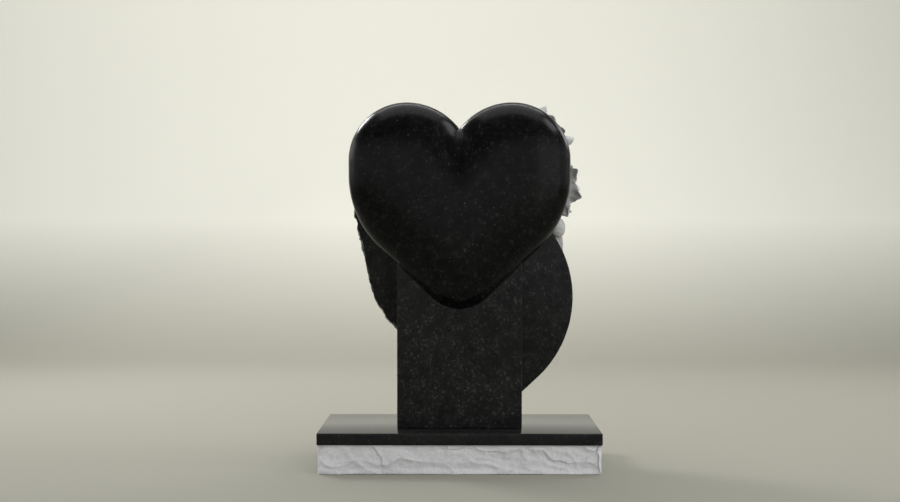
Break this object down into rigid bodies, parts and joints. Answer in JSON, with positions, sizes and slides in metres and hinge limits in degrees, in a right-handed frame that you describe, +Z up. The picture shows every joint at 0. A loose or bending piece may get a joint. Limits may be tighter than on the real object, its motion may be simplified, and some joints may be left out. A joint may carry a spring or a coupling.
{
  "type": "heart headstone",
  "caption": "Upright heart memorial: a puffed heart on a column, a leaning heart tablet and carved roses in front, on a slab and a rock-faced base.",
  "frame": {"origin": "centre of the base course's underside", "axes": "+Z up; -Y is the carved front with the tablet and roses; +X along the base's width"},
  "size_m": [0.75, 0.35, 0.9844],
  "materials": {
    "rock_faced_granite": "light grey granite, rock-faced sides, sawn beds",
    "polished_slab": "near-black granite, mirror polish",
    "polished_granite": "near-black granite with fine light speckles, polished",
    "polished_tablet": "near-black granite, polished faces, one hand-pitched edge",
    "sanded_granite": "light grey, carved and sanded"
  },
  "bodies": {
    "root": {"base_course": "rock_faced_granite", "base_slab": "polished_slab", "heart_stone": "polished_granite", "front_tablet": "polished_tablet", "rose_spray": "sanded_granite"}
  },
  "joints": []
}
